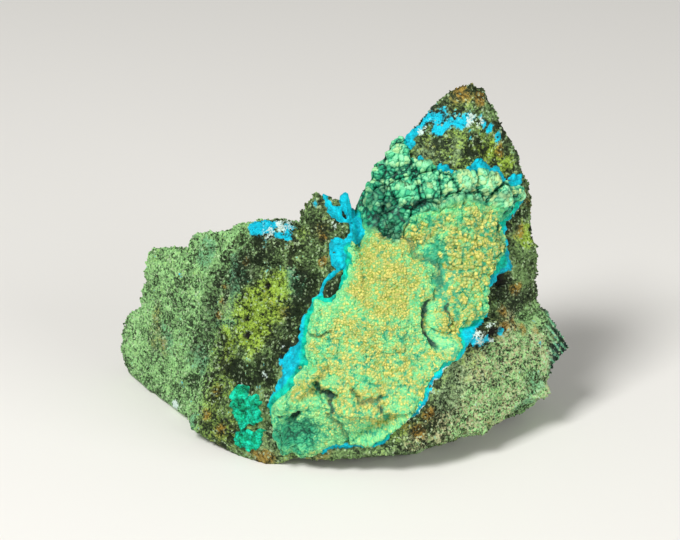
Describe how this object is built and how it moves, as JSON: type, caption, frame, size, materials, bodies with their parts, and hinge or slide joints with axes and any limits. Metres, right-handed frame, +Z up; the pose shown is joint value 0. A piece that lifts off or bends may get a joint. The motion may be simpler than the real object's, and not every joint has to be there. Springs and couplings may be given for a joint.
{
  "type": "brochantite specimen",
  "caption": "Angular rock specimen with a hollow face lined by a yellow-green brochantite crust, edged by a blue chrysocolla seam and green malachite patches.",
  "frame": {"origin": "middle of the bounding box's footprint, on the flat foot that the specimen stands on", "axes": "+Z up; the crust faces -Y; +X along the length of the rock, towards the tall spire's side"},
  "size_m": [0.083, 0.0483, 0.063],
  "materials": {
    "rock": "rough broken rock, olive brown to sage green, with fine sparkling grains",
    "brochantite": "tiny beads, ochre yellow to mint green, teal in the valleys between them",
    "chrysocolla": "smooth porcelain-like cyan blue",
    "malachite": "velvety blue-green, slightly grainy"
  },
  "bodies": {
    "root": {"matrix_rock": "rock", "brochantite_crust": "brochantite", "chrysocolla_seam": "chrysocolla", "malachite_patch_upper": "malachite", "malachite_patch_lower": "malachite"}
  },
  "joints": []
}
